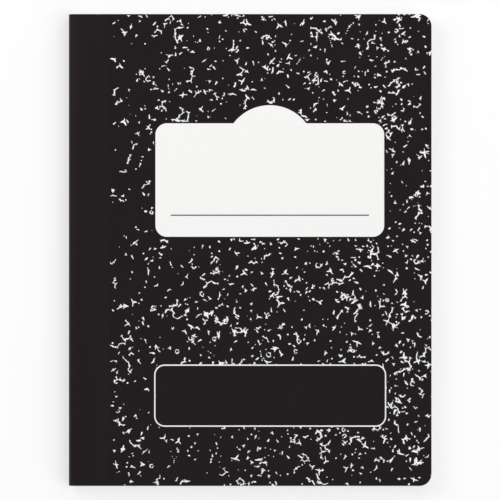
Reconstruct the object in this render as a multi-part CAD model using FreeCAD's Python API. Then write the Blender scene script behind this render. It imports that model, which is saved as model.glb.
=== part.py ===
import FreeCAD, Part
import math
import os
import random

# A sewn composition notebook, closed and lying on its back cover. Millimetres.
# X runs from the spine to the fore-edge, Y from tail to head, Z up.
# The origin is the centre of the footprint, on the surface that the notebook lies on.

# Trimmed book
book_width = 190.5  # back of the spine to fore-edge, 7.5 in
book_height = 247.65  # tail to head, 9.75 in
corner_radius = 6.35  # round fore-edge corners, cut through covers and leaves alike

# Leaves, folded in half one inside the other
leaf_count = 100
leaf_thickness = 0.085
fold_corner_radius = 3.0  # of the pressed fold, at each edge of the spine
fold_corner_share = 0.45  # and at most this share of the leaves' thickness
fold_face_radius = 9.0  # of the slight bulge between those two corners

# Cover card, one piece folded round the leaves
board_thickness = 0.8

# Black tape round the spine
tape_thickness = 0.2
tape_reach = 21.8  # from the back of the spine to the tape's edge on each cover

# Black ink on the white card. What is white on the covers is the card left bare.
ink_thickness = 0.05

# Window for the owner's name: a round-cornered field with an arch on top
label_width = 120.1
label_height = 59.6
label_corner_radius = 6.0
label_from_spine = 45.6
label_from_head = 57.3
arch_rise = 9.5
arch_chord = 38.2
rule_length = 104.1
rule_thickness = 0.55
rule_above_label_foot = 11.35

# Outlined panel below it
panel_width = 121.8
panel_height = 32.7
panel_corner_radius = 5.5
panel_line = 0.7
panel_from_spine = 44.95
panel_above_tail = 31.05

# Marbling: one bare flake in each square of a grid, at a chance place and turn
flake_pitch = 17.0
flake_reach_least = 3.2
flake_reach_most = 7.0
flake_point_share = (0.6, 1.0)  # how far out each point comes, as a share of the reach
flake_hollow_share = (0.2, 0.45)  # and each hollow between two points
flake_skew = 0.3  # how far a corner strays from even spacing, as a share of the spacing
flake_margin = 1.0  # between a flake and an edge of the ink
front_seed = 7
back_seed = 8

# Stitching through the middle of the spine fold
thread_diameter = 0.45
thread_clearance = 0.05
thread_cover_gap = 0.02  # between the thread and the tape over it
stitch_pitch = 10.0
stitch_from_edge = 9.0
thread_sides = 8  # the thread's section is a polygon with this many sides

# Heights and places that follow
leaves_thickness = leaf_count * leaf_thickness
back_inner_z = tape_thickness + board_thickness
front_inner_z = back_inner_z + leaves_thickness
front_card_z = front_inner_z + board_thickness
total_thickness = front_card_z + tape_thickness
middle_z = total_thickness / 2

spine_x = -book_width / 2
fore_edge_x = book_width / 2
head_y = book_height / 2
tail_y = -head_y
tape_edge_x = spine_x + tape_reach
card_fold_x = spine_x + tape_thickness
leaf_fold_x = card_fold_x + board_thickness

fold_radius = min(fold_corner_radius, fold_corner_share * leaves_thickness)
fold_centre_x = leaf_fold_x + fold_face_radius
fold_corner_rise = leaves_thickness / 2 - fold_radius
fold_corner_x = fold_centre_x - math.sqrt((fold_face_radius - fold_radius) ** 2 - fold_corner_rise**2)
hinge_x = fold_corner_x  # each cover turns about this line, on the face of the tape

label_left = spine_x + label_from_spine
label_right = label_left + label_width
label_top = head_y - label_from_head
label_foot = label_top - label_height
label_middle_x = (label_left + label_right) / 2
arch_left = label_middle_x - arch_chord / 2
arch_right = label_middle_x + arch_chord / 2
panel_left = spine_x + panel_from_spine
panel_right = panel_left + panel_width
panel_foot = tail_y + panel_above_tail
panel_top = panel_foot + panel_height


def point(x, y, z=0.0):
    return FreeCAD.Vector(x, y, z)


def line(a, b):
    return Part.LineSegment(a, b).toShape()


def arc(a, through, b):
    return Part.Arc(a, through, b).toShape()


def arc_about(centre, radius, start_degrees, end_degrees):
    """An arc in the plan, at the height of its centre."""
    angles = (start_degrees, (start_degrees + end_degrees) / 2, end_degrees)
    a, through, b = (
        centre + point(radius * math.cos(math.radians(t)), radius * math.sin(math.radians(t)))
        for t in angles
    )
    return arc(a, through, b)


def fold_edges(offset):
    """The spine fold in section, this far outside the leaves: lower corner, face, upper corner."""
    centre = point(fold_centre_x, tail_y, middle_z)

    def corner(sign):
        corner_centre = point(fold_corner_x, tail_y, middle_z + sign * fold_corner_rise)
        out = corner_centre - centre
        out.normalize()
        flat = corner_centre + point(0, 0, sign * (fold_radius + offset))
        bend_way = out + point(0, 0, sign)
        bend_way.normalize()
        bend = corner_centre + bend_way * (fold_radius + offset)
        face = centre + out * (fold_face_radius + offset)
        return flat, bend, face

    low_flat, low_bend, low_face = corner(-1)
    high_flat, high_bend, high_face = corner(1)
    back = centre - point(fold_face_radius + offset, 0, 0)
    return [
        arc(low_flat, low_bend, low_face),
        arc(low_face, back, high_face),
        arc(high_face, high_bend, high_flat),
    ]


def along_height(edges):
    """A closed section at the tail, drawn out to the head."""
    wire = Part.Wire(Part.__sortEdges__(edges))
    return Part.Face(wire).extrude(point(0, book_height, 0))


def fold_layer(inner_offset, outer_offset):
    """One layer of the spine fold, ending square at the two hinge lines."""
    ends = [
        line(
            point(hinge_x, tail_y, middle_z + sign * (leaves_thickness / 2 + inner_offset)),
            point(hinge_x, tail_y, middle_z + sign * (leaves_thickness / 2 + outer_offset)),
        )
        for sign in (-1, 1)
    ]
    return along_height(fold_edges(inner_offset) + fold_edges(outer_offset) + ends)


def trimmed_outline(left_x, z):
    """The book's outline in plan from left_x to the fore-edge, with its two round corners."""
    r = corner_radius
    low = point(fore_edge_x - r, tail_y + r, z)
    high = point(fore_edge_x - r, head_y - r, z)
    edges = [
        line(point(left_x, tail_y, z), point(fore_edge_x - r, tail_y, z)),
        arc_about(low, r, -90, 0),
        line(point(fore_edge_x, tail_y + r, z), point(fore_edge_x, head_y - r, z)),
        arc_about(high, r, 0, 90),
        line(point(fore_edge_x - r, head_y, z), point(left_x, head_y, z)),
        line(point(left_x, head_y, z), point(left_x, tail_y, z)),
    ]
    return Part.Wire(edges)


def trimmed_slab(left_x, low_z, high_z):
    return Part.Face(trimmed_outline(left_x, low_z)).extrude(point(0, 0, high_z - low_z))


def rounded_box_outline(left, low, right, high, r, z):
    edges = [
        line(point(left + r, low, z), point(right - r, low, z)),
        arc_about(point(right - r, low + r, z), r, -90, 0),
        line(point(right, low + r, z), point(right, high - r, z)),
        arc_about(point(right - r, high - r, z), r, 0, 90),
        line(point(right - r, high, z), point(left + r, high, z)),
        arc_about(point(left + r, high - r, z), r, 90, 180),
        line(point(left, high - r, z), point(left, low + r, z)),
        arc_about(point(left + r, low + r, z), r, 180, 270),
    ]
    return Part.Wire(edges)


def label_outline(z):
    """The name window: a round-cornered field, and an arch that rises from the middle of its top."""
    left, right, r = label_left, label_right, label_corner_radius
    edges = [
        line(point(left + r, label_foot, z), point(right - r, label_foot, z)),
        arc_about(point(right - r, label_foot + r, z), r, -90, 0),
        line(point(right, label_foot + r, z), point(right, label_top - r, z)),
        arc_about(point(right - r, label_top - r, z), r, 0, 90),
        line(point(right - r, label_top, z), point(arch_right, label_top, z)),
        arc(
            point(arch_right, label_top, z),
            point(label_middle_x, label_top + arch_rise, z),
            point(arch_left, label_top, z),
        ),
        line(point(arch_left, label_top, z), point(left + r, label_top, z)),
        arc_about(point(left + r, label_top - r, z), r, 90, 180),
        line(point(left, label_top - r, z), point(left, label_foot + r, z)),
        arc_about(point(left + r, label_foot + r, z), r, 180, 270),
    ]
    return Part.Wire(edges)


def rule_outline(z):
    left = label_middle_x - rule_length / 2
    foot = label_foot + rule_above_label_foot - rule_thickness / 2
    corners = [
        point(left, foot, z),
        point(left + rule_length, foot, z),
        point(left + rule_length, foot + rule_thickness, z),
        point(left, foot + rule_thickness, z),
    ]
    return Part.makePolygon(corners + corners[:1])


def panel_outer_outline(z):
    """The outer edge of the panel's bare line."""
    return rounded_box_outline(panel_left, panel_foot, panel_right, panel_top, panel_corner_radius, z)


def panel_inner_outline(z):
    """The inner edge of that line, and of the ink inside it."""
    return rounded_box_outline(
        panel_left + panel_line,
        panel_foot + panel_line,
        panel_right - panel_line,
        panel_top - panel_line,
        panel_corner_radius - panel_line,
        z,
    )


def front_blocks():
    """Boxes in plan that flakes keep out of on the front: window, arch and panel."""
    return [
        (label_left, label_foot, label_right, label_top),
        (arch_left, label_top, arch_right, label_top + arch_rise),
        (panel_left, panel_foot, panel_right, panel_top),
    ]


def flake_outline(chance, centre_x, centre_y, reach, z):
    """A bare flake: two or three points with hollow sides between them."""
    arms = chance.choice((2, 3))
    turn = chance.uniform(0, 2 * math.pi)
    corners = []
    for step in range(2 * arms):
        least, most = flake_point_share if step % 2 == 0 else flake_hollow_share
        out = reach * chance.uniform(least, most)
        angle = turn + math.pi * (step + chance.uniform(-flake_skew, flake_skew)) / arms
        corners.append(point(centre_x + out * math.cos(angle), centre_y + out * math.sin(angle), z))
    return Part.makePolygon(corners + corners[:1])


def flake_outlines(blocks, seed, z):
    """One flake in each grid square that is clear of the blocks and of the round corners."""
    columns = int((fore_edge_x - tape_edge_x) // flake_pitch)
    rows = int(book_height // flake_pitch)
    first_x = (tape_edge_x + fore_edge_x - columns * flake_pitch) / 2
    first_y = -rows * flake_pitch / 2
    wires = []
    for column in range(columns):
        for row in range(rows):
            chance = random.Random(f"{seed} {column} {row}")
            widest = flake_pitch / 2 - flake_margin
            reach = min(chance.uniform(flake_reach_least, flake_reach_most), widest)
            slack = widest - reach
            x = first_x + (column + 0.5) * flake_pitch + chance.uniform(-slack, slack)
            y = first_y + (row + 0.5) * flake_pitch + chance.uniform(-slack, slack)
            room = reach + flake_margin
            inside_x = tape_edge_x + room < x < fore_edge_x - room
            inside_y = tail_y + room < y < head_y - room
            corner_x = x - (fore_edge_x - corner_radius)
            corner_y = abs(y) - (head_y - corner_radius)
            in_corner = corner_x > 0 and corner_y > 0
            off_corner = in_corner and math.hypot(corner_x, corner_y) > corner_radius - room
            blocked = any(a - room < x < c + room and b - room < y < d + room for a, b, c, d in blocks)
            if inside_x and inside_y and not off_corner and not blocked:
                wires.append(flake_outline(chance, x, y, reach, z))
    return wires


def ink_layer(wires, way):
    """Ink between nested outlines: the outermost is inked, what is inside it is bare, and so on."""
    faces = Part.makeFace(Part.Compound(wires), "Part::FaceMakerBullseye")
    return faces.extrude(point(0, 0, way * ink_thickness))


def front_ink():
    z = front_card_z
    wires = [trimmed_outline(tape_edge_x, z), label_outline(z), panel_outer_outline(z)]
    return ink_layer(wires + flake_outlines(front_blocks(), front_seed, z), 1)


def back_ink():
    z = tape_thickness
    return ink_layer([trimmed_outline(tape_edge_x, z)] + flake_outlines([], back_seed, z), -1)


def stitch_places():
    """The holes along the spine, an even number of them, equally spaced."""
    span = book_height - 2 * stitch_from_edge
    gaps = 2 * round((span / stitch_pitch - 1) / 2) + 1
    return [tail_y + stitch_from_edge + span * i / gaps for i in range(gaps + 1)]


def thread_corners():
    """The thread's path: out at one hole, along the back of the fold, in at the next, along the gutter."""
    outer_x = card_fold_x + thread_cover_gap + thread_diameter / 2
    inner_x = leaf_fold_x + leaves_thickness / 2 + thread_diameter / 2
    holes = stitch_places()
    tail = (holes[1] - holes[0]) / 2
    path = [point(inner_x, holes[0] + tail, middle_z), point(inner_x, holes[0], middle_z)]
    for i, y in enumerate(holes):
        came_from, goes_to = (inner_x, outer_x) if i % 2 == 0 else (outer_x, inner_x)
        if i:
            path.append(point(came_from, y, middle_z))
        path.append(point(goes_to, y, middle_z))
    path.append(point(inner_x, holes[-1] - tail, middle_z))
    return path


def along_thread(half_width, sides):
    """A solid along the thread's path, square at each corner, with this section."""
    corners = thread_corners()
    out = half_width / math.cos(math.pi / sides)
    turns = [2 * math.pi * (side + 0.5) / sides for side in range(sides)]
    ring = [corners[0] + point(out * math.cos(turn), 0, out * math.sin(turn)) for turn in turns]
    section = Part.makePolygon(ring + ring[:1])
    mitred = 1
    return Part.makePolygon(corners).makePipeShell([section], True, False, mitred)


def leaves(thread_way):
    """All the leaves as one block, folded at the spine and trimmed on the other three sides."""
    flat = [
        line(point(fore_edge_x, tail_y, back_inner_z), point(fold_corner_x, tail_y, back_inner_z)),
        line(point(fold_corner_x, tail_y, front_inner_z), point(fore_edge_x, tail_y, front_inner_z)),
        line(point(fore_edge_x, tail_y, front_inner_z), point(fore_edge_x, tail_y, back_inner_z)),
    ]
    block = along_height(flat + fold_edges(0.0))
    trim = trimmed_slab(spine_x, back_inner_z, front_inner_z)
    return block.common(trim).cut(thread_way)


def tape_flap(low_z, high_z):
    width = tape_edge_x - hinge_x
    return Part.makeBox(width, book_height, high_z - low_z, point(hinge_x, tail_y, low_z))


def build():
    thread_way = along_thread(thread_diameter / 2 + thread_clearance, 4)
    return {
        "page_block": leaves(thread_way),
        "binding_thread": along_thread(thread_diameter / 2, thread_sides),
        "cover_spine_fold": fold_layer(0.0, board_thickness).cut(thread_way),
        "spine_tape": fold_layer(board_thickness, board_thickness + tape_thickness),
        "front_cover": trimmed_slab(hinge_x, front_inner_z, front_card_z),
        "front_cover_ink": front_ink(),
        "front_label_rule_ink": ink_layer([rule_outline(front_card_z)], 1),
        "front_panel_ink": ink_layer([panel_inner_outline(front_card_z)], 1),
        "front_tape_flap": tape_flap(front_card_z, total_thickness),
        "back_cover": trimmed_slab(hinge_x, tape_thickness, back_inner_z),
        "back_cover_ink": back_ink(),
        "back_tape_flap": tape_flap(0.0, tape_thickness),
    }


def main():
    os.makedirs("parts", exist_ok=True)
    for name, shape in build().items():
        solids = shape.Solids
        kept = solids[0] if len(solids) == 1 else Part.Compound(solids)
        kept.exportStep(os.path.join("parts", name + ".step"))
        print(name, len(solids), "solid", round(kept.Volume, 2), "mm3", "valid" if kept.isValid() else "NOT VALID")


main()
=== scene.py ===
import math
import random

import bmesh
import bpy
from bpy.props import FloatProperty, FloatVectorProperty, IntProperty, PointerProperty
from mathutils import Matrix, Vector
from mathutils.geometry import delaunay_2d_cdt


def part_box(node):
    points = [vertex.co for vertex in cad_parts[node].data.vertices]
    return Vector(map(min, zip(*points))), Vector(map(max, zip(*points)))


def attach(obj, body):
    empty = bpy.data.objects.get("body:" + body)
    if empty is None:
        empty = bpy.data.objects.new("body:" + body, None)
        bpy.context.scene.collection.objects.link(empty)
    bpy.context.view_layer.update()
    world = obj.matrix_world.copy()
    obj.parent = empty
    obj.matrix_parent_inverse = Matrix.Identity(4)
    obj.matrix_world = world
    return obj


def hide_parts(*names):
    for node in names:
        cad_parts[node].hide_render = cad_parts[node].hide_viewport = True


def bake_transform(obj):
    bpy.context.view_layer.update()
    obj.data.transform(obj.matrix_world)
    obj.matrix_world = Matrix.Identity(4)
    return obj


bl_info = {
    "name": "Composition notebook",
    "version": (1, 0, 0),
    "blender": (4, 5, 0),
    "location": "3D View > Sidebar > Notebook",
    "description": "Dresses a sewn notebook with marbled covers, a taped spine and folded leaves",
    "category": "Object",
}

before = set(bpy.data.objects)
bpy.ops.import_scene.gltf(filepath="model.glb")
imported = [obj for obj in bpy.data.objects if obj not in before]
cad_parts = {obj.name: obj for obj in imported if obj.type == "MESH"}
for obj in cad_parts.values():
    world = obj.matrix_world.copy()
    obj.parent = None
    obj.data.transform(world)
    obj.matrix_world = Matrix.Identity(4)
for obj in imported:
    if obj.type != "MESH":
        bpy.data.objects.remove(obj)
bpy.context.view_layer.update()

MM = 0.001
TINY = 0.001 * MM

front_low, front_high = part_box("front_cover")
back_low, back_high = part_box("back_cover")
flap_low, flap_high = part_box("front_tape_flap")
panel_ink_low, panel_ink_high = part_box("front_panel_ink")
ink_low, ink_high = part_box("front_cover_ink")

HINGE_X = front_low.x
FORE_EDGE_X = front_high.x
TAIL_Y = front_low.y
HEAD_Y = front_high.y
TAPE_EDGE_X = flap_high.x
TOP_Z = flap_high.z
SPINE_X = -FORE_EDGE_X  # the back of the spine, as the footprint is centred on the origin
MIDDLE_Z = TOP_Z / 2
LEAVES_THICKNESS = front_low.z - back_high.z
CARD_THICKNESS = front_high.z - front_low.z
TAPE_THICKNESS = flap_high.z - flap_low.z
INK_THICKNESS = ink_high.z - ink_low.z

# Sizes of the patterns in the real finishes, and how high each stands
INK_CLOUD = 14 * MM  # where the ink lies thicker or thinner
INK_FIBRE = 0.9 * MM  # of the board, felt through the ink
INK_RELIEF = 0.01 * MM
BOARD_CLOUD = 2.5 * MM  # clumps of fibres
BOARD_RELIEF = 0.02 * MM
PAPER_FIBRE = 0.7 * MM
PAPER_RELIEF = 0.02 * MM
LAYER_DEPTH = 0.77 * MM  # bands of painted shade on the trimmed edges, for leaves that were trimmed a little further in or out together
LAYER_REACH = 83 * MM  # how far such a layer runs along the edge
TAPE_PEBBLE = 1.1 * MM
TAPE_RELIEF = 0.12 * MM
THREAD_TWIST = 1.5 * MM
THREAD_RELIEF = 0.05 * MM

# A Mix node's sockets for colours
MIX_FIRST = 6
MIX_SECOND = 7
MIX_RESULT = 2

# Steps in each round corner of the print, and in the window's arch
CORNER_STEPS = 16
ARCH_STEPS = 24

# Marbling
FLAKE_CELL = 3.0 * MM  # square in which only one large flake or two small ones start
TAPE_MARGIN = 1.2 * MM  # beside the tape, where no flake starts
UNIT_LEAST = 0.73  # millimetres in the unit of a flake's sizes, where the marbling lies thinnest
UNIT_GROWTH = 0.3  # added to it where the marbling lies thickest
KEPT_LEAST = 0.18  # share of the tried flakes that stay where the marbling lies thinnest
KEPT_GROWTH = 0.82  # added to it where the marbling lies thickest
CROWD_WAVES = ((37, 0.4), (23, 1.9), (16, 2.7), (11, 0.9))  # lengths in millimetres, headings in radians
CROWD_DAMPING = 6.0  # what the sum of the waves is divided by
CROWD_MEAN = 0.45
CROWD_RISE = 0.4  # gained from the tape to the fore-edge
SMALL_SPOT = 0.4 * MM  # radius up to which a spot has five corners
STROKE_STEP = 1.0 * MM
TAIL_ODDS = 0.4  # that a chip has a tail
KNOT_ODDS = 0.75  # that a vein has a knot where it turns
SPUR_ODDS = 0.4  # that a vein has a spur there
CURL_STEP = 1.05  # radians from one stroke of a ring to the next
CURL_LEAN = 0.45  # radians that each stroke leans inwards
CURL_REACH = 1.15  # length of each stroke as a share of the ring's radius

# Each lamp's place and size in metres, and its power in watts
SOFT_LAMPS = (
    ("key_lamp", (-1.1, 0.7, 1.3), 1.4, 8.8),
    ("fill_lamp", (1.1, -0.6, 1.3), 1.6, 5.4),
    ("head_lamp", (0.5, 1.2, 0.9), 1.2, 3.2),
)
ROOM_LIGHT = 0.66  # strength of the surroundings, apart from what the camera sees of them
FLOOR_SIZE = 8.0
FLOOR_GAP = 0.22 * MM  # below the tape, so that an opened back cover shows its print
FADE_REACH = 450 * MM  # from the notebook to where the floor turns plain white
FADE_LEAST = 0.42  # share of plain white beside the notebook, so that its shadow stays soft
VIEW_WIDTH = 262.4 * MM  # across the picture, at the front cover
LENS = 300.0


def length(name, description, millimetres):
    return FloatProperty(
        name=name,
        description=description,
        default=millimetres * MM,
        min=0.0,
        precision=5,
        subtype="DISTANCE",
        unit="LENGTH",
    )


def linear(hex_colour):
    """An sRGB hex colour as linear red, green, blue and alpha."""
    channels = [int(hex_colour[i : i + 2], 16) / 255 for i in (1, 3, 5)]
    return [c / 12.92 if c <= 0.04045 else ((c + 0.055) / 1.055) ** 2.4 for c in channels] + [1.0]


def colour(name, description, hex_colour):
    return FloatVectorProperty(
        name=name,
        description=description,
        default=linear(hex_colour),
        size=4,
        min=0.0,
        max=1.0,
        subtype="COLOR",
    )


class NotebookSizes(bpy.types.PropertyGroup):
    corner: length("Corner", "Radius of the two fore-edge corners", 6.35)
    fold_corner: length("Fold corner", "Radius of the leaves' fold at each edge of the spine", 3.0)
    fold_face: length("Fold face", "Radius of the slight bulge between those corners", 9.0)
    sheets: IntProperty(name="Sheets", description="Folded sheets, each of two leaves", default=50, min=1)
    leaf: length("Leaf", "Thickness of one leaf", 0.078)
    trim_slip: length("Trim slip", "How far the trimmed edge of a leaf may stand back", 0.06)
    trim_seed: IntProperty(name="Trim seed", description="Chance slips of the trimmed edges", default=5)
    hinge_reach: length("Hinge reach", "Card that bends on each side of a cover's hinge line", 1.0)
    soft_edge: length("Soft edge", "Rounding of the card's and the tape's cut edges", 0.06)


class NotebookPrint(bpy.types.PropertyGroup):
    label_width: length("Label width", "Name window, across", 120.1)
    label_height: length("Label height", "Name window, without its arch", 59.6)
    label_corner: length("Label corner", "Radius of the window's corners", 6.0)
    label_from_spine: length("Label from spine", "Back of the spine to the window", 45.6)
    label_from_head: length("Label from head", "Head to the top of the window", 57.3)
    arch_rise: length("Arch rise", "Height of the arch over the window", 9.5)
    arch_chord: length("Arch chord", "Width of the arch at its foot", 38.2)
    panel_line: length("Panel line", "Width of the bare line round the panel", 0.7)
    panel_corner: length("Panel corner", "Outer radius of that line's corners", 5.5)
    key_line: length("Key line", "Plain ink kept round the window", 0.8)
    flakes: IntProperty(
        name="Flakes",
        description="Bare flakes that the marbling tries to place on a cover",
        default=4300,
        min=0,
    )
    front_seed: IntProperty(name="Front seed", description="Chance layout of the front", default=12)
    back_seed: IntProperty(name="Back seed", description="Chance layout of the back", default=18)


class NotebookColours(bpy.types.PropertyGroup):
    ink: colour("Ink", "Black print on the covers", "#181213")
    card: colour("Card", "Bare card of the covers' outside", "#F5F5F4")
    reverse: colour("Reverse", "Inside and cut edges of the card", "#ECEBE6")
    paper: colour("Paper", "Leaves", "#F2F0EA")
    tape: colour("Tape", "Cloth tape on the spine", "#181213")
    thread: colour("Thread", "Sewing thread", "#E6E2D8")
    floor: colour("Floor", "Floor under the notebook", "#FEFEFE")


def rise_of_fold_corner():
    """How far the centre of each of the fold's corners lies from the middle of the leaves, up or down."""
    return LEAVES_THICKNESS / 2 - bpy.context.scene.notebook_sizes.fold_corner


def reach_of_fold_face():
    """How far the centre of the fold's face lies from the hinge line, towards the fore-edge."""
    sizes = bpy.context.scene.notebook_sizes
    return math.sqrt((sizes.fold_face - sizes.fold_corner) ** 2 - rise_of_fold_corner() ** 2)


def start_alone():
    """Object mode with nothing selected."""
    if bpy.context.mode != "OBJECT":
        bpy.ops.object.mode_set(mode="OBJECT")
    bpy.ops.object.select_all(action="DESELECT")


def pick(obj):
    start_alone()
    obj.select_set(True)
    bpy.context.view_layer.objects.active = obj


def select_points(obj, test):
    """In edit mode, selects the points for which test is true, and what lies between them."""
    bpy.ops.mesh.select_mode(type="VERT")
    bpy.ops.mesh.select_all(action="DESELECT")
    mesh = bmesh.from_edit_mesh(obj.data)
    for vert in mesh.verts:
        vert.select = test(vert.co)
    mesh.select_flush_mode()
    bmesh.update_edit_mesh(obj.data)


def apply_modifier(obj, kind, **settings):
    pick(obj)
    modifier = obj.modifiers.new(kind.title(), kind)
    for key, value in settings.items():
        setattr(modifier, key, value)
    bpy.ops.object.modifier_apply(modifier=modifier.name)


def face_way(obj, way):
    """Turns the mesh so that its flat part faces up for a way of 1, or down for -1."""
    if max(obj.data.polygons, key=lambda face: face.area).normal.z * way < 0:
        obj.data.flip_normals()


def smooth(obj):
    """Smooth faces, but with the edges kept that turn by more than 30 degrees."""
    pick(obj)
    bpy.ops.object.shade_smooth_by_angle(angle=math.radians(30))


def add_plate(name, z, right, corner_steps):
    """A flat sheet from just past the hinge line to its right edge, left in edit mode.

    Its right corners are round, or square where they have no steps."""
    sizes = bpy.context.scene.notebook_sizes
    left = HINGE_X + sizes.hinge_reach
    start_alone()
    bpy.ops.mesh.primitive_plane_add(size=1, location=((left + right) / 2, 0, z))
    obj = bpy.context.object
    obj.name = name
    obj.data.name = name
    obj.scale = (right - left, HEAD_Y - TAIL_Y, 1)
    bpy.ops.object.transform_apply(location=True, rotation=False, scale=True)
    bpy.ops.object.mode_set(mode="EDIT")
    if corner_steps:
        select_points(obj, lambda co: co.x > right - TINY)
        bpy.ops.mesh.bevel(affect="VERTICES", offset=sizes.corner, segments=corner_steps, profile=0.5)
    return obj


def fold_round_spine(obj, side, hinge_steps=8, corner_steps=24, face_steps=4):
    """Draws the sheet's spine edge to the hinge line and round the fold to the middle of the spine."""
    sizes = bpy.context.scene.notebook_sizes
    left = HINGE_X + sizes.hinge_reach
    select_points(obj, lambda co: co.x < left + TINY)
    for _ in range(hinge_steps):
        step = {"value": (-sizes.hinge_reach / hinge_steps, 0, 0)}
        bpy.ops.mesh.extrude_region_move(TRANSFORM_OT_translate=step)
    face_angle = math.atan2(rise_of_fold_corner(), reach_of_fold_face())
    corner_centre = (HINGE_X, 0, MIDDLE_Z + side * rise_of_fold_corner())
    face_centre = (HINGE_X + reach_of_fold_face(), 0, MIDDLE_Z)
    for steps, angle, centre in (
        (corner_steps, math.pi / 2 - face_angle, corner_centre),
        (face_steps, face_angle, face_centre),
    ):
        bpy.ops.mesh.spin(steps=steps, angle=side * angle, center=centre, axis=(0, 1, 0))
    bpy.ops.mesh.select_all(action="SELECT")
    bpy.ops.mesh.remove_doubles(threshold=TINY)
    bpy.ops.object.mode_set(mode="OBJECT")


def folded_half(name, side, offset, thickness, right, corner_steps, materials):
    """One cover's half of the card or the tape, from its right edge to the middle of the spine.

    The first material goes on the outer face and the last on the inner face and the cut edges."""
    z = MIDDLE_Z + side * (LEAVES_THICKNESS / 2 + offset)
    obj = add_plate(name, z, right, corner_steps)
    fold_round_spine(obj, side)
    face_way(obj, side)
    for material in materials:
        obj.data.materials.append(material)
    apply_modifier(
        obj,
        "SOLIDIFY",
        thickness=thickness,
        offset=-1,
        use_even_offset=True,
        material_offset=len(materials) - 1,
        material_offset_rim=len(materials) - 1,
    )
    soft = bpy.context.scene.notebook_sizes.soft_edge
    apply_modifier(obj, "BEVEL", width=soft, segments=2, limit_method="ANGLE", angle_limit=math.radians(60))
    # The end at the middle of the spine is made flat again, so that the other half meets it flush.
    bpy.ops.object.mode_set(mode="EDIT")
    select_points(obj, lambda co: abs(co.z - MIDDLE_Z) < 2 * soft)
    bpy.ops.transform.resize(value=(1, 1, 0), center_override=(0, 0, MIDDLE_Z))
    bpy.ops.object.mode_set(mode="OBJECT")
    smooth(obj)
    return obj


def bend_at_hinge(obj):
    """Bakes the piece's placement into its mesh."""
    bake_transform(obj)


def paint(obj, material):
    obj.data.materials.clear()
    obj.data.materials.append(material)


def set_inputs(tree, node, links=None, inputs=None):
    """Gives a node's inputs their values and their links, each by its name or number."""
    for key, value in (inputs or {}).items():
        node.inputs[key].default_value = value
    for key, source in (links or {}).items():
        tree.links.new(source, node.inputs[key])


def add_node(tree, kind, links=None, inputs=None, **settings):
    """Adds a node with its settings, input values and links."""
    node = tree.nodes.new(kind)
    for key, value in settings.items():
        setattr(node, key, value)
    set_inputs(tree, node, links, inputs)
    return node


def new_material(name):
    """A material with a plain Principled surface, its node tree and its shader."""
    material = bpy.data.materials.new(name)
    material.use_nodes = True
    tree = material.node_tree
    return material, tree, tree.nodes["Principled BSDF"]


def shade_of(rgba, share):
    return [channel * share for channel in rgba[:3]] + [1.0]


def ink_material():
    """Offset black under a satin varnish on card. It reads as an even, soft black with a low sheen."""
    material, tree, shader = new_material("varnished_black_ink")
    ink = bpy.context.scene.notebook_colours.ink
    place = add_node(tree, "ShaderNodeTexCoord").outputs["Object"]
    cloud = add_node(
        tree,
        "ShaderNodeTexNoise",
        links={"Vector": place},
        inputs={"Scale": 1 / INK_CLOUD, "Detail": 3.0, "Roughness": 0.6},
    )
    tone = add_node(
        tree,
        "ShaderNodeMix",
        data_type="RGBA",
        links={"Factor": cloud.outputs["Fac"]},
        inputs={MIX_FIRST: shade_of(ink, 0.86), MIX_SECOND: shade_of(ink, 1.14)},
    )
    sheen = add_node(
        tree,
        "ShaderNodeMapRange",
        links={"Value": cloud.outputs["Fac"]},
        inputs={"To Min": 0.40, "To Max": 0.52},
    )
    fibre = add_node(
        tree,
        "ShaderNodeTexNoise",
        links={"Vector": place},
        inputs={"Scale": 1 / INK_FIBRE, "Detail": 4.0, "Roughness": 0.55},
    )
    bump = add_node(
        tree,
        "ShaderNodeBump",
        links={"Height": fibre.outputs["Fac"]},
        inputs={"Strength": 0.25, "Distance": INK_RELIEF},
    )
    set_inputs(
        tree,
        shader,
        links={
            "Base Color": tone.outputs[MIX_RESULT],
            "Roughness": sheen.outputs["Result"],
            "Normal": bump.outputs["Normal"],
        },
        inputs={"Specular IOR Level": 0.09},
    )
    return material


def card_material(name, card):
    """Bleached board, smoothed in making, whose reverse is a little duller.

    It reads as a flat, faintly mottled white."""
    material, tree, shader = new_material(name)
    cloud = add_node(
        tree,
        "ShaderNodeTexNoise",
        links={"Vector": add_node(tree, "ShaderNodeTexCoord").outputs["Object"]},
        inputs={"Scale": 1 / BOARD_CLOUD, "Detail": 5.0, "Roughness": 0.65},
    )
    tone = add_node(
        tree,
        "ShaderNodeMix",
        data_type="RGBA",
        links={"Factor": cloud.outputs["Fac"]},
        inputs={MIX_FIRST: shade_of(card, 0.97), MIX_SECOND: shade_of(card, 1.02)},
    )
    bump = add_node(
        tree,
        "ShaderNodeBump",
        links={"Height": cloud.outputs["Fac"]},
        inputs={"Strength": 0.3, "Distance": BOARD_RELIEF},
    )
    set_inputs(
        tree,
        shader,
        links={"Base Color": tone.outputs[MIX_RESULT], "Normal": bump.outputs["Normal"]},
        inputs={"Roughness": 0.62, "Specular IOR Level": 0.3},
    )
    return material


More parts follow.
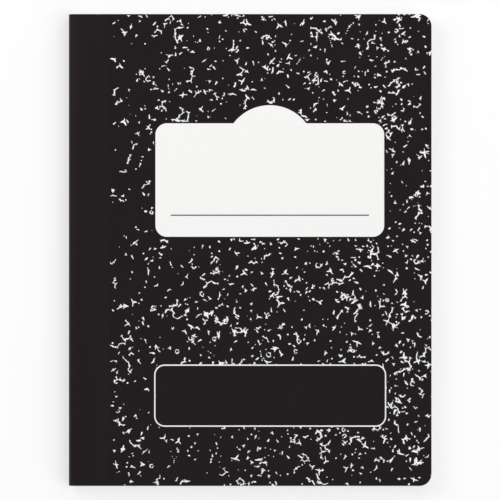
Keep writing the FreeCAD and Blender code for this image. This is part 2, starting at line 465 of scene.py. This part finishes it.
def paper_material():
    """Uncoated writing paper. Its faces are matte and warm white, and the trimmed edges show fine layers,
    drawn as bands of painted shade.
    """
    material, tree, shader = new_material("uncoated_writing_paper")
    paper = bpy.context.scene.notebook_colours.paper
    texture_place = add_node(tree, "ShaderNodeTexCoord")
    # The layers stand for several leaves each, because single leaves are too fine to show. Their dark bands
    # are painted shade where leaves stand back.
    squeeze = add_node(
        tree,
        "ShaderNodeMapping",
        links={"Vector": texture_place.outputs["Object"]},
        inputs={"Scale": (1 / LAYER_REACH, 1 / LAYER_REACH, 1 / LAYER_DEPTH)},
    )
    layers = add_node(
        tree,
        "ShaderNodeTexNoise",
        links={"Vector": squeeze.outputs["Vector"]},
        inputs={"Scale": 1.0, "Detail": 3.0, "Roughness": 0.8},
    )
    contrast = add_node(
        tree,
        "ShaderNodeMapRange",
        links={"Value": layers.outputs["Fac"]},
        inputs={"From Min": 0.3, "From Max": 0.62},
    )
    # Painted shade: the trimmed edges are darkened to 0.62 of the paper in bands where the noise is low.
    painted_layer_shade = add_node(
        tree,
        "ShaderNodeMix",
        data_type="RGBA",
        links={"Factor": contrast.outputs["Result"]},
        inputs={MIX_FIRST: shade_of(paper, 0.62), MIX_SECOND: paper},
    )
    facing = add_node(tree, "ShaderNodeSeparateXYZ", links={"Vector": texture_place.outputs["Normal"]})
    flat = add_node(tree, "ShaderNodeMath", links={0: facing.outputs["Z"]}, operation="ABSOLUTE")
    tone = add_node(
        tree,
        "ShaderNodeMix",
        data_type="RGBA",
        links={"Factor": flat.outputs["Value"], MIX_FIRST: painted_layer_shade.outputs[MIX_RESULT]},
        inputs={MIX_SECOND: paper},
    )
    fibre = add_node(
        tree,
        "ShaderNodeTexNoise",
        links={"Vector": texture_place.outputs["Object"]},
        inputs={"Scale": 1 / PAPER_FIBRE, "Detail": 5.0, "Roughness": 0.7},
    )
    bump = add_node(
        tree,
        "ShaderNodeBump",
        links={"Height": fibre.outputs["Fac"]},
        inputs={"Strength": 0.35, "Distance": PAPER_RELIEF},
    )
    set_inputs(
        tree,
        shader,
        links={"Base Color": tone.outputs[MIX_RESULT], "Normal": bump.outputs["Normal"]},
        inputs={"Roughness": 0.85, "Specular IOR Level": 0.2},
    )
    return material


def tape_material():
    """Book cloth, embossed with a fine pebble and filled black. It reads as a dull, close-grained black,
    with a painted highlight on each pebble and painted shade in the hollows.
    """
    material, tree, shader = new_material("black_book_cloth_tape")
    tape = bpy.context.scene.notebook_colours.tape
    # The pebbles of the real cloth are about half as wide, which is too fine to show.
    pebble = add_node(
        tree,
        "ShaderNodeTexVoronoi",
        feature="SMOOTH_F1",
        links={"Vector": add_node(tree, "ShaderNodeTexCoord").outputs["Object"]},
        inputs={"Scale": 1 / TAPE_PEBBLE, "Smoothness": 0.6, "Randomness": 0.9},
    )
    # Painted highlight and shade: lighter at each pebble's raised centre and darker in the hollows between
    # pebbles.
    tone = add_node(
        tree,
        "ShaderNodeMix",
        data_type="RGBA",
        links={"Factor": pebble.outputs["Distance"]},
        inputs={MIX_FIRST: shade_of(tape, 1.15), MIX_SECOND: shade_of(tape, 0.75)},
    )
    bump = add_node(
        tree,
        "ShaderNodeBump",
        invert=True,
        links={"Height": pebble.outputs["Distance"]},
        inputs={"Strength": 0.8, "Distance": TAPE_RELIEF},
    )
    set_inputs(
        tree,
        shader,
        links={"Base Color": tone.outputs[MIX_RESULT], "Normal": bump.outputs["Normal"]},
        inputs={"Roughness": 0.5, "Specular IOR Level": 0.1},
    )
    return material


def thread_material():
    """Twisted cotton thread. The twist gives it fine slanting bands, with painted shade in the grooves
    between them.
    """
    material, tree, shader = new_material("twisted_cotton_thread")
    thread = bpy.context.scene.notebook_colours.thread
    twist = add_node(
        tree,
        "ShaderNodeTexWave",
        wave_type="BANDS",
        bands_direction="DIAGONAL",
        links={"Vector": add_node(tree, "ShaderNodeTexCoord").outputs["Object"]},
        inputs={"Scale": 1 / THREAD_TWIST, "Distortion": 0.4},
    )
    # Painted shade: darker where the twist's bump is low, in the grooves.
    tone = add_node(
        tree,
        "ShaderNodeMix",
        data_type="RGBA",
        links={"Factor": twist.outputs["Fac"]},
        inputs={MIX_FIRST: shade_of(thread, 0.7), MIX_SECOND: thread},
    )
    bump = add_node(
        tree,
        "ShaderNodeBump",
        links={"Height": twist.outputs["Fac"]},
        inputs={"Strength": 0.5, "Distance": THREAD_RELIEF},
    )
    set_inputs(
        tree,
        shader,
        links={"Base Color": tone.outputs[MIX_RESULT], "Normal": bump.outputs["Normal"]},
        inputs={"Roughness": 0.9},
    )
    return material


def arc_points(centre_x, centre_y, radius, start, end, steps):
    """Points on an arc from a start to an end in degrees."""
    angles = [math.radians(start + (end - start) * i / steps) for i in range(steps + 1)]
    return [(centre_x + radius * math.cos(a), centre_y + radius * math.sin(a)) for a in angles]


def rounded_box(left, low, right, high, radius):
    """A round-cornered outline, anticlockwise from the lower right corner."""
    points = arc_points(right - radius, low + radius, radius, -90, 0, CORNER_STEPS)
    points += arc_points(right - radius, high - radius, radius, 0, 90, CORNER_STEPS)
    points += arc_points(left + radius, high - radius, radius, 90, 180, CORNER_STEPS)
    points += arc_points(left + radius, low + radius, radius, 180, 270, CORNER_STEPS)
    return points


def trimmed_field():
    """The inked part of a cover in plan: from the tape's edge to the fore-edge, with its round corners."""
    radius = bpy.context.scene.notebook_sizes.corner
    centre_x = FORE_EDGE_X - radius
    points = [(TAPE_EDGE_X, HEAD_Y), (TAPE_EDGE_X, TAIL_Y)]
    points += arc_points(centre_x, TAIL_Y + radius, radius, -90, 0, CORNER_STEPS)
    points += arc_points(centre_x, HEAD_Y - radius, radius, 0, 90, CORNER_STEPS)
    return points


def label_box():
    """Left, low, right and high edges of the name window, without its arch."""
    shapes = bpy.context.scene.notebook_print
    left = SPINE_X + shapes.label_from_spine
    high = HEAD_Y - shapes.label_from_head
    return left, high - shapes.label_height, left + shapes.label_width, high


def arch_points(margin):
    """The arch over the window, from right to left, this far outside its own edge."""
    shapes = bpy.context.scene.notebook_print
    left, _, right, high = label_box()
    middle = (left + right) / 2
    half = shapes.arch_chord / 2
    radius = (half**2 + shapes.arch_rise**2) / (2 * shapes.arch_rise)
    centre_y = high + shapes.arch_rise - radius
    swing = math.degrees(math.acos((high + margin - centre_y) / (radius + margin)))
    return arc_points(middle, centre_y, radius + margin, 90 - swing, 90 + swing, ARCH_STEPS)


def label_outline(margin=0.0):
    """The name window with its arch, anticlockwise, this far outside its own edge."""
    left, low, right, high = label_box()
    radius = bpy.context.scene.notebook_print.label_corner + margin
    box = rounded_box(left - margin, low - margin, right + margin, high + margin, radius)
    half = len(box) // 2
    return box[:half] + arch_points(margin) + box[half:]


def panel_outline():
    """The outer edge of the panel's bare line."""
    shapes = bpy.context.scene.notebook_print
    line = shapes.panel_line
    low, high = panel_ink_low, panel_ink_high
    return rounded_box(low.x - line, low.y - line, high.x + line, high.y + line, shapes.panel_corner)


def towards(point, heading, reach):
    return Vector((point[0] + reach * math.cos(heading), point[1] + reach * math.sin(heading)))


def stroke(chance, start, heading, reach, width):
    """A ragged stroke that wanders and thins out: its outline, its end and its last heading."""
    steps = max(2, round(reach / STROKE_STEP))
    point, right, left = Vector(start), [], []
    for i in range(steps + 1):
        thinning = 1 - 0.5 * (i / steps) ** 3
        half = width / 2 * chance.uniform(0.6, 1.4) * thinning
        right.append(towards(point, heading - math.pi / 2, half))
        left.append(towards(point, heading + math.pi / 2, half))
        if i < steps:
            heading += chance.uniform(-0.4, 0.4)
            point = towards(point, heading, reach / steps)
    tip = towards(point, heading, width * 0.35)
    return right + [tip] + left[::-1], point, heading


def blob(chance, centre, radius):
    """An uneven spot, longer one way."""
    corners = 5 if radius < SMALL_SPOT else 7
    turn = chance.uniform(0, math.pi)
    long = chance.uniform(1.0, 1.7)
    points = []
    for i in range(corners):
        angle = 2 * math.pi * i / corners
        out = radius * chance.uniform(0.7, 1.25)
        along = towards(centre, turn, out * long * math.cos(angle))
        points.append(towards(along, turn + math.pi / 2, out * math.sin(angle)))
    return points


def wedge(chance, centre, radius):
    """A spot drawn out to three sharp corners, with hollow sides."""
    turn = chance.uniform(0, 2 * math.pi)
    points = []
    for i in range(3):
        corner = turn + 2 * math.pi * (i + chance.uniform(-0.25, 0.25)) / 3
        points.append(towards(centre, corner, radius * chance.uniform(0.9, 1.9)))
        hollow = corner + math.pi / 3 + chance.uniform(-0.3, 0.3)
        points.append(towards(centre, hollow, radius * chance.uniform(0.4, 0.75)))
    return points


def spot(chance, centre, unit):
    radius = chance.uniform(0.2, 0.56) * unit
    return [blob(chance, centre, radius)]


def chip(chance, centre, unit):
    """One sharp-cornered flake, at times with a tail."""
    radius = chance.uniform(0.45, 1.0) * unit
    shapes = [wedge(chance, centre, radius)]
    if chance.random() < TAIL_ODDS:
        heading = chance.uniform(0, 2 * math.pi)
        reach = chance.uniform(1.0, 2.4) * unit
        shapes.append(stroke(chance, centre, heading, reach, width=0.55 * unit)[0])
    return shapes


def dash(chance, centre, unit):
    heading = chance.uniform(0, 2 * math.pi)
    reach = chance.uniform(0.9, 2.7) * unit
    width = chance.uniform(0.55, 1.05) * unit
    return [stroke(chance, centre, heading, reach, width)[0]]


def armed(chance, centre, unit, counts, body, radii, reaches, widths):
    """A body with arms all round. The last three hold the least and the most, in units."""
    arms = chance.choice(counts)
    turn = chance.uniform(0, 2 * math.pi)
    shapes = [body(chance, centre, chance.uniform(*radii) * unit)]
    for i in range(arms):
        heading = turn + 2 * math.pi * (i + chance.uniform(-0.3, 0.3)) / arms
        reach = chance.uniform(*reaches) * unit
        width = chance.uniform(*widths) * unit
        shapes.append(stroke(chance, centre, heading, reach, width)[0])
    return shapes


def fork(chance, centre, unit):
    """Two to four thin arms from one sharp knot."""
    radii, reaches, widths = (0.45, 0.8), (0.9, 2.7), (0.5, 0.95)
    return armed(chance, centre, unit, (2, 3, 3, 4), wedge, radii, reaches, widths)


def star(chance, centre, unit):
    """A large spot with three to five thick arms."""
    radii, reaches, widths = (0.7, 1.15), (1.2, 2.6), (0.7, 1.1)
    return armed(chance, centre, unit, (3, 4, 5), blob, radii, reaches, widths)


def vein(chance, centre, unit):
    """Thin strokes end to end that turn sharply, with sharp knots where they meet and spurs off them."""
    point, heading = centre, chance.uniform(0, 2 * math.pi)
    shapes = [wedge(chance, centre, chance.uniform(0.4, 0.8) * unit)]
    for _ in range(chance.choice((2, 2, 3, 3, 4, 5))):
        width = chance.uniform(0.45, 0.85) * unit
        reach = chance.uniform(1.3, 2.8) * unit
        shape, point, heading = stroke(chance, point, heading, reach, width)
        shapes.append(shape)
        if chance.random() < KNOT_ODDS:
            shapes.append(wedge(chance, point, chance.uniform(0.35, 0.8) * unit))
        if chance.random() < SPUR_ODDS:
            spur_heading = heading + chance.choice((-1, 1)) * chance.uniform(0.9, 1.9)
            spur_reach = chance.uniform(0.7, 1.8) * unit
            shapes.append(stroke(chance, point, spur_heading, spur_reach, width * 0.8)[0])
        heading += chance.choice((-1, 1)) * chance.uniform(0.4, 1.4)
    return shapes


def curl(chance, centre, unit):
    """A broken ring of short strokes."""
    radius = chance.uniform(0.7, 1.4) * unit
    turn = chance.uniform(0, 2 * math.pi)
    shapes = []
    for i in range(chance.choice((3, 4, 5))):
        angle = turn + i * CURL_STEP
        start = towards(centre, angle, radius)
        heading = angle + math.pi / 2 + CURL_LEAN
        width = chance.uniform(0.4, 0.8) * unit
        shapes.append(stroke(chance, start, heading, CURL_REACH * radius, width)[0])
    return shapes


def trail(chance, centre, unit):
    """Three to six spots in a loose line."""
    heading = chance.uniform(0, 2 * math.pi)
    shapes = []
    for _ in range(chance.choice((3, 4, 5, 6))):
        radius = chance.uniform(0.22, 0.45) * unit
        shapes.append(blob(chance, centre, radius))
        heading += chance.uniform(-0.4, 0.4)
        centre = towards(centre, heading, chance.uniform(1.0, 1.7) * unit)
    return shapes


# Every kind of flake, with its share of the whole
FLAKE_KINDS = {spot: 36, chip: 15, dash: 18, fork: 14, vein: 8, star: 2, curl: 3, trail: 1}
SMALL_KINDS = (spot, dash, chip)


def crowding(x, y, turn):
    """How thick the marbling lies at a place, from 0 to 1: slow waves that cross each other."""
    waves = 0.0
    for span, angle in CROWD_WAVES:
        along = x * math.cos(angle + turn) + y * math.sin(angle + turn)
        waves += math.sin(2 * math.pi * along / (span * MM) + turn * span)
    rise = CROWD_RISE * x / (FORE_EDGE_X - TAPE_EDGE_X)
    return min(1.0, max(0.0, CROWD_MEAN + waves / CROWD_DAMPING + rise))


def marbling(seed):
    """Outlines of all the flakes on one cover: many and large in some places, few and small in others."""
    chance = random.Random(seed)
    kinds, weights = list(FLAKE_KINDS), list(FLAKE_KINDS.values())
    shapes, taken = [], {}
    for _ in range(bpy.context.scene.notebook_print.flakes):
        x = chance.uniform(TAPE_EDGE_X + TAPE_MARGIN, FORE_EDGE_X)
        y = chance.uniform(TAIL_Y, HEAD_Y)
        thick = crowding(x, y, seed)
        kind = chance.choices(kinds, weights)[0]
        square = cell_of(x, y)
        most = 2 if kind in SMALL_KINDS else 1
        if taken.get(square, 0) >= most or chance.random() > KEPT_LEAST + KEPT_GROWTH * thick:
            continue
        taken[square] = taken.get(square, 0) + 1
        unit = (UNIT_LEAST + UNIT_GROWTH * thick) * MM
        shapes += kind(chance, (x, y), unit)
    return shapes


def winds_round(outline, x, y):
    """Whether the outline goes round a place, also where the outline crosses itself."""
    turns = 0
    x0, y0 = outline[-1]
    for x1, y1 in outline:
        if (y0 <= y) != (y1 <= y):
            side = (x1 - x0) * (y - y0) - (x - x0) * (y1 - y0)
            if (side > 0) == (y1 > y0):
                turns += 1 if y1 > y0 else -1
        x0, y0 = x1, y1
    return turns != 0


def cell_of(x, y):
    return math.floor(x / FLAKE_CELL), math.floor(y / FLAKE_CELL)


def by_place(outlines):
    """The outlines that reach into each square of a grid."""
    squares = {}
    for outline in outlines:
        across, along = zip(*outline)
        low, high = cell_of(min(across), min(along)), cell_of(max(across), max(along))
        for i in range(low[0], high[0] + 1):
            for j in range(low[1], high[1] + 1):
                squares.setdefault((i, j), []).append(outline)
    return squares


def covered(squares, x, y):
    """Whether any outline of those sorted by place goes round a point."""
    return any(winds_round(outline, x, y) for outline in squares.get(cell_of(x, y), ()))


def lay_ink(name, z, way, seed, bare, plain):
    """Ink over a cover's field, left off the bare outlines and the flakes, but whole in the plain outlines.

    It has some thousand ragged holes that run into each other. So it isn't cut by hand: all outlines are
    filled with triangles together, and those that have ink are kept."""
    groups = [[trimmed_field()], bare, plain, marbling(seed)]
    points, loops = [], []
    for outline in sum(groups, []):
        loops.append(list(range(len(points), len(points) + len(outline))))
        points += [Vector(point) for point in outline]
    corners, _, faces, *_ = delaunay_2d_cdt(points, [], loops, 1, TINY)
    field, bare_squares, plain_squares, flakes = [by_place(group) for group in groups]
    inked = []
    for face in faces:
        x, y = sum((corners[i] for i in face), Vector((0, 0))) / len(face)
        flaked = covered(flakes, x, y) and not covered(plain_squares, x, y)
        if covered(field, x, y) and not covered(bare_squares, x, y) and not flaked:
            inked.append(face)
    mesh = bpy.data.meshes.new(name)
    mesh.from_pydata([(corner.x, corner.y, z) for corner in corners], [], inked)
    obj = bpy.data.objects.new(name, mesh)
    bpy.context.scene.collection.objects.link(obj)
    pick(obj)
    bpy.ops.object.mode_set(mode="EDIT")
    bpy.ops.mesh.select_all(action="SELECT")
    bpy.ops.mesh.delete_loose()
    bpy.ops.object.mode_set(mode="OBJECT")
    face_way(obj, way)
    apply_modifier(obj, "SOLIDIFY", thickness=INK_THICKNESS, offset=-1)
    return obj


def add_outermost_sheet():
    """One sheet of two leaves, folded round all the others."""
    sheet = add_plate("leaves", MIDDLE_Z + LEAVES_THICKNESS / 2, FORE_EDGE_X, corner_steps=8)
    fold_round_spine(sheet, 1, hinge_steps=1, corner_steps=8, face_steps=2)
    bpy.ops.object.mode_set(mode="EDIT")
    bpy.ops.mesh.select_all(action="SELECT")
    bpy.ops.mesh.duplicate()
    bpy.ops.transform.resize(value=(1, 1, -1), center_override=(0, 0, MIDDLE_Z))
    bpy.ops.mesh.select_all(action="SELECT")
    bpy.ops.mesh.remove_doubles(threshold=TINY)
    bpy.ops.mesh.normals_make_consistent(inside=False)
    bpy.ops.object.mode_set(mode="OBJECT")
    return sheet


def nest_sheet(sheet, share, slips):
    """Draws a sheet in to this share of the outermost one's thickness, and slips its trimmed edges back.

    Two slips are for the fore-edges of the upper and the lower leaf, and two for their heads and tails."""
    sizes = bpy.context.scene.notebook_sizes
    gutter_x = HINGE_X + reach_of_fold_face() - sizes.fold_face + LEAVES_THICKNESS / 2
    corner_x = FORE_EDGE_X - sizes.corner - TINY
    pick(sheet)
    bpy.ops.object.mode_set(mode="EDIT")
    for upper, fore_slip, head_slip in zip((True, False), slips[:2], slips[2:]):
        select_points(sheet, lambda co: (co.z > MIDDLE_Z) == upper)
        bpy.ops.transform.resize(value=(1, 1 - head_slip / HEAD_Y, 1), center_override=(0, 0, 0))
        select_points(sheet, lambda co: (co.z > MIDDLE_Z) == upper and co.x > corner_x)
        bpy.ops.transform.translate(value=(-fore_slip, 0, 0))
    select_points(sheet, lambda co: co.x < gutter_x)
    bpy.ops.transform.resize(value=(share, 1, 1), center_override=(gutter_x, 0, 0))
    bpy.ops.mesh.select_all(action="SELECT")
    bpy.ops.transform.resize(value=(1, 1, share), center_override=(0, 0, MIDDLE_Z))
    bpy.ops.object.mode_set(mode="OBJECT")


class NOTEBOOK_OT_leaves(bpy.types.Operator):
    """Adds the leaves: folded sheets, one inside another, trimmed together"""

    bl_idname = "notebook.leaves"
    bl_label = "Add Leaves"

    def execute(self, context):
        sizes = context.scene.notebook_sizes
        chance = random.Random(sizes.trim_seed)
        outermost = add_outermost_sheet()
        sheets = []
        for i in range(sizes.sheets):
            sheet = outermost.copy()
            sheet.data = outermost.data.copy()
            context.scene.collection.objects.link(sheet)
            slips = [chance.uniform(0, 1) ** 2 * sizes.trim_slip for _ in range(4)]
            nest_sheet(sheet, 1 - (i + 0.5) / sizes.sheets, slips)
            sheets.append(sheet)
        bpy.data.objects.remove(outermost)
        start_alone()
        for sheet in sheets:
            sheet.select_set(True)
        leaves = sheets[0]
        context.view_layer.objects.active = leaves
        bpy.ops.object.join()
        leaves.name = "leaves"
        apply_modifier(leaves, "SOLIDIFY", thickness=sizes.leaf, offset=0, use_even_offset=True)
        smooth(leaves)
        paint(leaves, paper_material())
        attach(leaves, "book_block")
        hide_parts("page_block")
        return {"FINISHED"}


class NOTEBOOK_OT_thread(bpy.types.Operator):
    """Finishes the sewing thread in the fold"""

    bl_idname = "notebook.thread"
    bl_label = "Finish Thread"

    def execute(self, context):
        paint(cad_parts["binding_thread"], thread_material())
        return {"FINISHED"}


class NOTEBOOK_OT_card(bpy.types.Operator):
    """Adds the card that is folded round the leaves, as two halves that meet in the middle of the spine"""

    bl_idname = "notebook.card"
    bl_label = "Add Card"

    def execute(self, context):
        colours = context.scene.notebook_colours
        materials = [
            card_material("bleached_board", colours.card),
            card_material("board_reverse", colours.reverse),
        ]
        for cover, side in (("front_cover", 1), ("back_cover", -1)):
            half = folded_half(
                cover + "_card",
                side,
                offset=CARD_THICKNESS,
                thickness=CARD_THICKNESS,
                right=FORE_EDGE_X,
                corner_steps=12,
                materials=materials,
            )
            bend_at_hinge(half)
            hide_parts(cover, "cover_spine_fold")
        return {"FINISHED"}


class NOTEBOOK_OT_tape(bpy.types.Operator):
    """Adds the tape over the spine, as two halves that meet in the middle of the spine"""

    bl_idname = "notebook.tape"
    bl_label = "Add Tape"

    def execute(self, context):
        materials = [tape_material()]
        for cover, side in (("front_cover", 1), ("back_cover", -1)):
            half = folded_half(
                cover.replace("cover", "tape"),
                side,
                offset=CARD_THICKNESS + TAPE_THICKNESS,
                thickness=TAPE_THICKNESS,
                right=TAPE_EDGE_X,
                corner_steps=0,
                materials=materials,
            )
            bend_at_hinge(half)
            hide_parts(cover.replace("cover", "tape_flap"), "spine_tape")
        return {"FINISHED"}


class NOTEBOOK_OT_ink(bpy.types.Operator):
    """Lays the black print on both covers and leaves the marbling, the window and the panel's line bare"""

    bl_idname = "notebook.ink"
    bl_label = "Lay Ink"

    def execute(self, context):
        shapes = context.scene.notebook_print
        material = ink_material()
        front = lay_ink(
            "front_cover_marbling",
            z=front_high.z + INK_THICKNESS,
            way=1,
            seed=shapes.front_seed,
            bare=[label_outline(), panel_outline()],
            plain=[label_outline(shapes.key_line)],
        )
        back = lay_ink(
            "back_cover_marbling",
            z=back_low.z - INK_THICKNESS,
            way=-1,
            seed=shapes.back_seed,
            bare=[],
            plain=[],
        )
        for field, cover in ((front, "front_cover"), (back, "back_cover")):
            paint(field, material)
            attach(field, cover)
            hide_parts(cover + "_ink")
        for node in ("front_label_rule_ink", "front_panel_ink"):
            paint(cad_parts[node], material)
        return {"FINISHED"}


class NOTEBOOK_OT_stage(bpy.types.Operator):
    """Adds the floor, the soft lamps, the white surroundings and the camera"""

    bl_idname = "notebook.stage"
    bl_label = "Set Stage"

    def execute(self, context):
        add_floor(context)
        add_surroundings(context)
        for name, place, size, watts in SOFT_LAMPS:
            add_lamp(name, place, size, watts)
        add_camera(context)
        context.scene.view_settings.view_transform = "Standard"
        return {"FINISHED"}


def seen_plain(tree):
    """1 for the rays that show the background: straight to the camera, mirrored or through glass."""
    path = add_node(tree, "ShaderNodeLightPath")
    either = path.outputs["Is Camera Ray"]
    for kind in ("Is Glossy Ray", "Is Transmission Ray"):
        links = {0: either, 1: path.outputs[kind]}
        either = add_node(tree, "ShaderNodeMath", links=links, operation="MAXIMUM").outputs["Value"]
    return either


def floor_material():
    """Seamless white paper.

    It takes the shadow near the notebook, and further off the camera sees it plain white."""
    material, tree, shader = new_material("seamless_background_paper")
    floor = bpy.context.scene.notebook_colours.floor
    set_inputs(tree, shader, inputs={"Base Color": floor, "Roughness": 0.95, "Specular IOR Level": 0.0})
    # How far a place lies outside the notebook's footprint
    beyond = add_node(tree, "ShaderNodeTexCoord").outputs["Object"]
    for operation, inputs in (
        ("ABSOLUTE", {}),
        ("SUBTRACT", {1: (FORE_EDGE_X, HEAD_Y, 0)}),
        ("MAXIMUM", {1: (0, 0, 0)}),
    ):
        step = add_node(tree, "ShaderNodeVectorMath", links={0: beyond}, inputs=inputs, operation=operation)
        beyond = step.outputs["Vector"]
    distance = add_node(tree, "ShaderNodeVectorMath", links={0: beyond}, operation="LENGTH")
    fade = add_node(
        tree,
        "ShaderNodeMapRange",
        interpolation_type="SMOOTHSTEP",
        links={"Value": distance.outputs["Value"]},
        inputs={"From Min": 0.0, "From Max": FADE_REACH, "To Min": FADE_LEAST},
    )
    share = add_node(
        tree,
        "ShaderNodeMath",
        operation="MULTIPLY",
        links={0: fade.outputs["Result"], 1: seen_plain(tree)},
    )
    plain = add_node(tree, "ShaderNodeEmission", inputs={"Strength": 1.0})
    mix = add_node(
        tree,
        "ShaderNodeMixShader",
        links={"Fac": share.outputs["Value"], 1: shader.outputs["BSDF"], 2: plain.outputs["Emission"]},
    )
    tree.links.new(mix.outputs["Shader"], tree.nodes["Material Output"].inputs["Surface"])
    return material


def add_floor(context):
    start_alone()
    bpy.ops.mesh.primitive_plane_add(size=FLOOR_SIZE, location=(0, 0, -FLOOR_GAP))
    floor = context.object
    floor.name = "floor"
    floor.data.materials.append(floor_material())


def add_surroundings(context):
    """Plain white as a background, and a soft even light on all surfaces."""
    world = bpy.data.worlds.new("white_room")
    context.scene.world = world
    world.use_nodes = True
    tree = world.node_tree
    sky = tree.nodes["Background"]
    sky.inputs["Color"].default_value = (1, 1, 1, 1)
    strength = add_node(
        tree,
        "ShaderNodeMapRange",
        links={"Value": seen_plain(tree)},
        inputs={"To Min": ROOM_LIGHT, "To Max": 1.0},
    )
    tree.links.new(strength.outputs["Result"], sky.inputs["Strength"])


def add_lamp(name, place, size, watts):
    data = bpy.data.lights.new(name, "AREA")
    data.shape = "DISK"
    data.size = size
    data.energy = watts
    lamp = bpy.data.objects.new(name, data)
    lamp.location = place
    lamp.rotation_euler = (-Vector(place)).to_track_quat("-Z", "Y").to_euler()
    bpy.context.scene.collection.objects.link(lamp)


def add_camera(context):
    """Looks straight down on the front cover, from far off with a long lens."""
    data = bpy.data.cameras.new("camera")
    data.lens = LENS
    camera = bpy.data.objects.new("camera", data)
    camera.location = (0, 0, TOP_Z + VIEW_WIDTH * LENS / data.sensor_width)
    context.scene.collection.objects.link(camera)
    context.scene.camera = camera


class NOTEBOOK_PT_panel(bpy.types.Panel):
    """Lists the notebook's pieces and their sizes and colours"""

    bl_label = "Composition Notebook"
    bl_idname = "NOTEBOOK_PT_panel"
    bl_space_type = "VIEW_3D"
    bl_region_type = "UI"
    bl_category = "Notebook"

    def draw(self, context):
        scene = context.scene
        for step in STEPS:
            self.layout.operator(step.bl_idname)
        for group in (scene.notebook_sizes, scene.notebook_print, scene.notebook_colours):
            box = self.layout.box()
            for name in group.bl_rna.properties.keys():
                if name not in ("rna_type", "name"):
                    box.prop(group, name)


STEPS = (
    NOTEBOOK_OT_leaves,
    NOTEBOOK_OT_thread,
    NOTEBOOK_OT_card,
    NOTEBOOK_OT_tape,
    NOTEBOOK_OT_ink,
    NOTEBOOK_OT_stage,
)
CLASSES = (NotebookSizes, NotebookPrint, NotebookColours) + STEPS + (NOTEBOOK_PT_panel,)


def register():
    for item in CLASSES:
        bpy.utils.register_class(item)
    bpy.types.Scene.notebook_sizes = PointerProperty(type=NotebookSizes)
    bpy.types.Scene.notebook_print = PointerProperty(type=NotebookPrint)
    bpy.types.Scene.notebook_colours = PointerProperty(type=NotebookColours)


def unregister():
    del bpy.types.Scene.notebook_colours
    del bpy.types.Scene.notebook_print
    del bpy.types.Scene.notebook_sizes
    for item in reversed(CLASSES):
        bpy.utils.unregister_class(item)


def main():
    register()
    bpy.ops.notebook.leaves()
    bpy.ops.notebook.thread()
    bpy.ops.notebook.card()
    bpy.ops.notebook.tape()
    bpy.ops.notebook.ink()
    bpy.ops.notebook.stage()
    start_alone()


if __name__ == "__main__":
    main()
